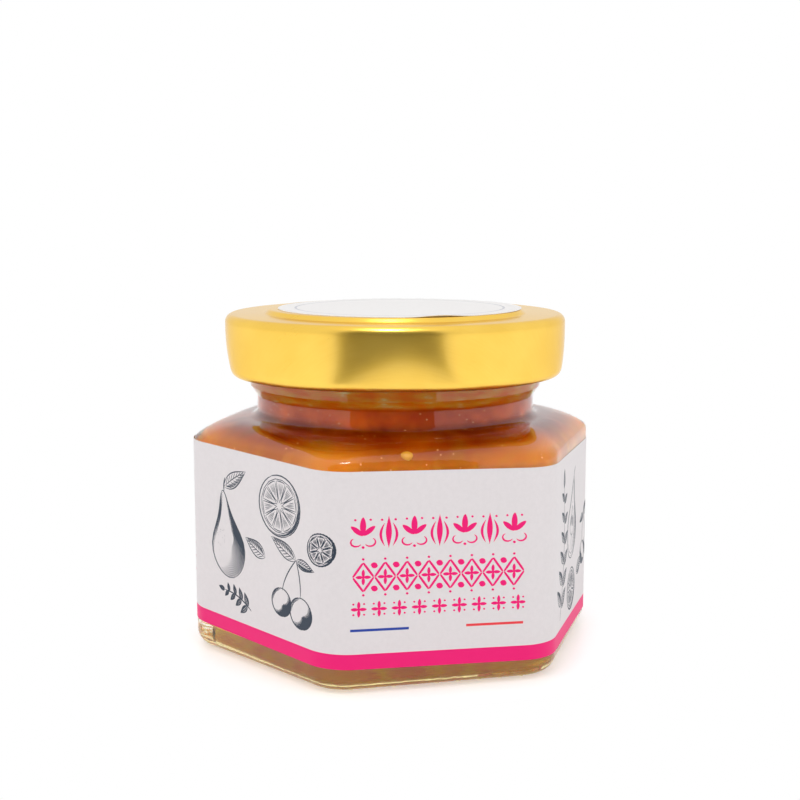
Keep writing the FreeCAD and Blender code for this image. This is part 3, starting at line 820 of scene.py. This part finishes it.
class Pen:
    """Draws lines in its own frame, which lies at a place on the strip, turned and scaled."""

    def __init__(self, sheet, at=(0, 0), size=1.0, turn=0.0, flip=1):
        self.sheet = sheet
        self.at = at
        self.size = size
        self.turn = turn
        self.flip = flip

    def place(self, x, y):
        """From the pen's own frame to the strip, in millimetres."""
        turn = math.radians(self.turn)
        x = x * self.flip
        return (self.at[0] + self.size * (x * math.cos(turn) - y * math.sin(turn)),
                self.at[1] + self.size * (x * math.sin(turn) + y * math.cos(turn)))

    def moved(self, x, y, size=1.0, turn=0.0, flip=1):
        """A pen whose frame lies inside this one's."""
        return Pen(self.sheet, self.place(x, y), self.size * size, self.turn + turn * self.flip,
                   self.flip * flip)

    def lines(self, x, y, width, swell=0.5):
        """Adds lines: rows of x and y are lines, columns are points. The width is in millimetres."""
        x, y = np.broadcast_arrays(np.atleast_2d(x), np.atleast_2d(y))
        along = np.linspace(0, np.pi, x.shape[1])
        press = np.maximum(np.sin(along), 0.0) ** swell
        width = np.asarray(width, dtype=float).reshape(-1, 1)
        self.sheet.append((*self.place(x, y), np.maximum(press * width, 0.03) + 0 * x))

    def dots(self, x, y, size):
        """Adds round dots, each a very short line as wide as it is long."""
        x, y = np.ravel(x)[:, None], np.ravel(y)[:, None]
        half = np.linspace(-0.5, 0.5, 7)[None, :] * np.reshape(size, (-1, 1)) / self.size
        self.lines(x + half, y + 0 * half, size)


def row(*numbers):
    """Numbers as a column, so that each one makes a line of its own."""
    return np.array(numbers, dtype=float)[:, None]


T = np.linspace(0, 1, 17)[None, :]     # along a line, from its start to its end


# %% Fruit and leaves


def leaf(pen, length, wide, shade=0.10):
    """A leaf from its stalk at the origin along x: two edges, a midrib, side veins and hatching."""
    edge = wide * np.sin(np.pi * T ** 0.8) * (1 - 0.25 * T)
    pen.lines(T * length, row(1, -1) * edge * length, 0.20)
    pen.lines(T * length * 0.94, 0.03 * length * np.sin(np.pi * T), 0.15)
    start = row(*np.linspace(0.10, 0.74, 7))
    end = start + 0.17
    reach = wide * np.sin(np.pi * end ** 0.8) * (1 - 0.25 * end) * 0.86 * length
    x = (start + (end - start) * T) * length
    for side in (1, -1):
        pen.lines(x, side * reach * T ** 0.8, 0.13)
    fine = row(*np.linspace(0.08, 0.86, 30))
    dark = wide * np.sin(np.pi * fine ** 0.8) * (1 - 0.25 * fine) * length
    pen.lines((fine + 0.07 * T) * length, -dark * (0.25 + 0.65 * T), shade)


def crescents(pen, outline, count, inner=0.45, facing=-0.9, width=0.13, reach=0.30):
    """Shading lines that follow an outline on its dark side, shorter the deeper they lie."""
    share = row(*np.linspace(inner, 0.955, count))
    open_angle = np.pi * (0.08 + reach * (share - inner) / (1 - inner) + 0.12)
    angle = facing + (T - 0.5) * 2 * open_angle
    x, y = outline(angle)
    pen.lines(x * share, y * share, width * (0.7 + 0.5 * share))


def closed(pen, outline, width=0.24):
    """The outline itself, drawn in two strokes that meet, as a hand draws it."""
    for start in (-0.45, 0.55):
        x, y = outline((start + T * 1.04) * np.pi)
        pen.lines(x, y, width, 0.3)


def round_fruit(angle):
    return np.cos(angle), 0.96 * np.sin(angle)


def pear_outline(angle):
    """A circle whose width drops from a wide belly to a narrow neck, by a smooth step in height."""
    rise = np.sin(angle)
    wide = 0.50 - 0.30 * np.tanh(2.2 * (rise - 0.12))
    return wide * np.cos(angle), 1.12 * rise - 0.10


def pear(pen):
    closed(pen, pear_outline)
    crescents(pen, pear_outline, 15, 0.40, -0.55, 0.16, 0.34)
    crescents(pen, pear_outline, 5, 0.78, 2.6, 0.10, 0.16)
    pen.lines(0.06 + 0.10 * T ** 2, 1.0 + 0.36 * T, 0.30)
    leaf(pen.moved(0.08, 1.12, 1.0, 22), 1.05, 0.20)
    pen.lines(row(-0.1, 0.0, 0.1) + 0.05 * T, -1.24 + 0.08 * T, 0.14)
    step = np.arange(26)
    pen.dots(-0.26 + 0.15 * np.sin(step * 2.4), -0.42 + 0.42 * np.cos(step * 1.7), 0.11)


def halved_pear(pen):
    closed(pen, pear_outline)
    x, y = pear_outline(T * 2 * np.pi)
    pen.lines(0.90 * x, 0.90 * y, 0.11, 0.1)
    pen.lines(0.42 * x, 0.36 * y - 0.16, 0.13, 0.1)
    pen.lines(0.02 * np.sin(9 * T), -1.0 + 0.5 * T, 0.12)
    pen.lines(0.02 * np.sin(9 * T), 0.28 + 0.66 * T, 0.12)
    for side in (1, -1):
        seed = pen.moved(side * 0.12, -0.20, 1.0, side * 14)
        seed.lines(row(0.05, 0.0, -0.05) * np.sin(np.pi * T), -0.16 + 0.32 * T, 0.22)
    crescents(pen, pear_outline, 6, 0.62, -0.5, 0.09, 0.20)
    pen.lines(0.02 + 0.14 * T ** 2, 1.0 + 0.30 * T, 0.28)


def citrus_wheel(pen, segments=10):
    closed(pen, round_fruit, 0.26)
    x, y = round_fruit(T * 2 * np.pi)
    pen.lines(0.88 * x, 0.88 * y, 0.13, 0.1)
    middle = row(*np.arange(segments)) * 2 * np.pi / segments
    half = 0.86 * np.pi / segments
    for side in (1, -1):
        angle = middle + side * half * np.minimum(1, 4 * T)
        reach = 0.10 + 0.72 * T
        pen.lines(reach * np.cos(angle), 0.96 * reach * np.sin(angle), 0.16)
    angle = middle + half * (2 * T - 1)
    pen.lines(0.81 * np.cos(angle), 0.78 * np.sin(angle), 0.16)
    for offset, inner in ((-0.5, 0.42), (-0.2, 0.30), (0.1, 0.38), (0.4, 0.5)):
        angle = middle + offset * half
        reach = inner + (0.74 - inner) * T
        pen.lines(reach * np.cos(angle), 0.96 * reach * np.sin(angle), 0.10)
    crescents(pen, round_fruit, 3, 0.90, -0.8, 0.14, 0.5)


def cherries(pen):
    for x, y, size in ((-0.85, -0.9, 0.82), (0.8, -1.05, 0.9)):
        ball = pen.moved(x, y, size)
        closed(ball, round_fruit)
        crescents(ball, round_fruit, 13, 0.25, -0.75, 0.18, 0.34)
        crescents(ball, round_fruit, 3, 0.84, 2.5, 0.10, 0.1)
    rise = row(-0.80, 0.72)
    pen.lines(rise * (1 - T ** 1.4) + 0.25 * T, -0.22 + 2.0 * T ** 0.8, 0.22, 0.25)
    leaf(pen.moved(0.25, 1.75, 1.0, 160), 2.3, 0.19)
    leaf(pen.moved(0.25, 1.75, 1.0, -8), 1.5, 0.20)


def sprig(pen, pairs=5, length=4.0):
    """A curved twig with pairs of leaves that get smaller towards its tip."""
    pen.lines(0.10 * length * np.sin(np.pi * T * 0.9), T * length, 0.24, 0.25)
    for index in range(pairs):
        share = (index + 0.6) / (pairs + 0.3)
        x, y = 0.10 * length * math.sin(math.pi * share * 0.9), share * length
        size = 1.25 - 0.65 * share
        leaf(pen.moved(x, y, 1.0, 38 - 10 * share), size, 0.22)
        leaf(pen.moved(x, y + 0.10, 1.0, 142 + 10 * share), size, 0.22)
    leaf(pen.moved(0.10 * length * math.sin(math.pi * 0.9), length, 1.0, 92), 0.8, 0.22)


# Each drawing gets a pen at its place on the strip, with its size and its turn in degrees.
slate = []
pear(Pen(slate, (-40.8, 16.6), 6.2, 8))
citrus_wheel(Pen(slate, (-27.4, 22.9), 4.9, 12))
cherries(Pen(slate, (-24.6, 10.4), 2.8, -4))
citrus_wheel(Pen(slate, (-18.4, 17.9), 2.5, 40), 8)
leaf(Pen(slate, (-31.0, 14.2), 5.4, 156), 1.0, 0.24)
sprig(Pen(slate, (-34.6, 4.8), 2.0, 76), 4, 3.6)
sprig(Pen(slate, (24.2, 3.8), 3.9, -4), 6, 5.4)
halved_pear(Pen(slate, (34.4, 19.2), 6.0, -10))
citrus_wheel(Pen(slate, (34.0, 6.7), 3.6, 5), 9)
leaf(Pen(slate, (39.2, 8.0), 5.0, 24), 1.0, 0.24)
cherries(Pen(slate, (46.4, 13.0), 2.3, 6, -1))
print("pen lines in slate:", sum(len(item[0]) for item in slate))

# %% Rows of pink ornament


def petals(pen, angles, length, width):
    """Petals that fan out from the origin, each one stroke that swells."""
    turn = np.radians(row(*angles))
    pen.lines(T * length * np.sin(turn), T * length * np.cos(turn), width, 0.6)


def fan(pen):
    """Three wide petals and two berries over a pair of curls."""
    petals(pen, (0,), 1.50, 1.15)
    petals(pen, (-52, 52), 1.25, 0.95)
    pen.dots([0.62, -0.62], [1.28, 1.28], 0.40)
    for side in (1, -1):
        angle = np.pi * (0.15 + 1.2 * T)
        pen.lines(side * (0.56 - 0.44 * np.cos(angle)), -0.52 - 0.34 * np.sin(angle), 0.34, 0.5)
    pen.dots([0], [-0.95], 0.5)


def bud(pen):
    """A tall pointed bud between two leaning leaves."""
    pen.lines(0 * T, -1.05 + 2.6 * T, 1.1, 1.1)
    pen.lines(row(0.66, -0.66) * (0.5 + 0.5 * np.sin(np.pi * T)), -0.9 + 1.9 * T, 0.5, 0.8)
    pen.dots([0.55, -0.55], [1.25, 1.25], 0.42)


def tile(pen):
    """A diamond outline round four petals, with a point at either side."""
    for side in (1, -1):
        for rise in (1, -1):
            pen.lines(side * 1.02 * T, rise * 1.42 * (1 - T), 0.44, 0.15)
    petals(pen, (0, 90, 180, 270), 0.76, 0.62)
    pen.dots([0, 0], [1.75, -1.75], 0.44)


def rosette(pen):
    """Four petals and a point at each diagonal."""
    petals(pen, (0, 90, 180, 270), 1.05, 0.62)
    pen.dots([0.7, -0.7, 0.7, -0.7], [0.7, 0.7, -0.7, -0.7], 0.36)


FAN_ROW = 20.3
TILE_ROW = 14.05
ROSETTE_ROW = 9.2
HAIRLINE_START = -60.0
HAIRLINE = 9.5                  # length of each plain line, on the second flat to the left

pink = []
for index, u in enumerate(np.linspace(-11.9, 11.3, 7)):
    (fan if index % 2 == 0 else bud)(Pen(pink, (u, FAN_ROW), 1.85))
for u in np.linspace(-11.9, 11.3, 8):
    tile(Pen(pink, (u, TILE_ROW), 1.55))
for u in np.linspace(-10.24, 9.64, 7):
    Pen(pink, (u, TILE_ROW)).dots([0, 0], [1.75, -1.75], 1.1)
for u in np.linspace(-12.6, 12.0, 9):
    rosette(Pen(pink, (u, ROSETTE_ROW), 1.15))
for v in (8.0, 10.2, 12.4):
    Pen(pink).lines(HAIRLINE_START + HAIRLINE * T, v + 0 * T, 0.20, 0.1)
print("pen lines in pink:", sum(len(item[0]) for item in pink))


# %% [markdown]
# ## Ink on the paper
# Each line becomes three rails, left, middle and right of the pen's path, placed on the strip and
# lifted as described. All lines of one colour are one mesh.

# %% Lay the ink


def inked(name, sheet, colour, weight):
    """All lines of a sheet as one mesh; weight makes the pen broader."""
    places, faces, count = [], [], 0
    for x, y, width in sheet:
        along_x, along_y = np.gradient(x, axis=1), np.gradient(y, axis=1)
        length = np.hypot(along_x, along_y) + 1e-9
        rail = np.array([0.5, 0.0, -0.5])
        u = x[..., None] - (along_y / length * width * weight)[..., None] * rail
        v = y[..., None] + (along_x / length * width * weight)[..., None] * rail
        lift = PEN_SINK + (PEN_LIFT - PEN_SINK) * (rail == 0) + 0 * u
        places.append(on_label(u * MM, v * MM, lift).reshape(-1, 3))
        lines, points = x.shape
        one = grid_faces(points, 3)
        start = count + np.arange(lines)[:, None, None] * points * 3
        faces.append((one[None] + start).reshape(-1, 4)[:, ::-1])
        count += lines * points * 3
    piece = add_mesh(name, np.concatenate(places), np.concatenate(faces))
    piece.data.shade_smooth()
    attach(piece, "root")
    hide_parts("body_label")
    ink, _, _ = finish(name, Base_Color=colour, Roughness=0.45, Specular_IOR_Level=0.3)
    piece.data.materials.append(ink)
    print(name + ":", 2 * len(piece.data.polygons), "triangles")


inked("slate_ink", slate, SLATE, 1.6)
inked("pink_ink", pink, PINK, 1.3)

# %% [markdown]
# ## Paper seal
# The round seal on the cap is the same paper, with its white painted lighter: painted light for its
# top, which faces up to the lamps. At the front its edge has come unstuck over a short stretch, and
# curls up by a quarter of a millimetre. Its print is one pale ring.

# %% Round seal
SEAL_RADIUS = 20.1 * MM
SEAL_OFFSET = (0.73 * MM, -0.17 * MM)  # it was put on a little off the middle
# Whiter than the label's paper: painted light for the seal's top, which faces up to the lamps.
SEAL_WHITE_PAINTED_LIGHT = (0.92, 0.90, 0.89, 1)
RING_RADIUS = 17.2              # mm
RING_GREY = (0.62, 0.62, 0.66, 1)
FLAP_DIRECTION = math.radians(-85)
FLAP_LENGTH = 1.2 * MM
FLAP_LIFT = 0.25 * MM


def stuck_on(places):
    """Lifts the unstuck edge, by a power of the distance past the fold, and moves the seal aside."""
    towards = places[..., 0] * math.cos(FLAP_DIRECTION) + places[..., 1] * math.sin(FLAP_DIRECTION)
    past = np.clip((towards - SEAL_RADIUS + FLAP_LENGTH) / FLAP_LENGTH, 0, 1)
    return places + np.stack([0 * past + SEAL_OFFSET[0], 0 * past + SEAL_OFFSET[1],
                              FLAP_LIFT * past ** 4], -1)


def pale_ring(place, colour):
    x, y, _ = place.axes()
    x, y = x - SEAL_OFFSET[0] / MM, y - SEAL_OFFSET[1] / MM
    off = place.math("ABSOLUTE", place.math("SQRT", x * x + y * y) - RING_RADIUS)
    return off.step(0.22, 0.16).blend(colour, RING_GREY)


reach = SEAL_RADIUS * np.concatenate([[0], np.linspace(0.5, 0.9, 5), np.linspace(0.92, 1, 12)])
seal_profile = np.concatenate([
    np.column_stack([reach, np.full(len(reach), cap_high.z + PAPER)]),
    np.column_stack([reach[::-1], np.full(len(reach), cap_high.z + PRESSED)])])
seal = turned("paper_seal", seal_profile, 360, stuck_on)
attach(seal, "root")
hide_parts("lid_label")
seal.data.materials.append(satin_paper("seal_paper", SEAL_WHITE_PAINTED_LIGHT, pale_ring))
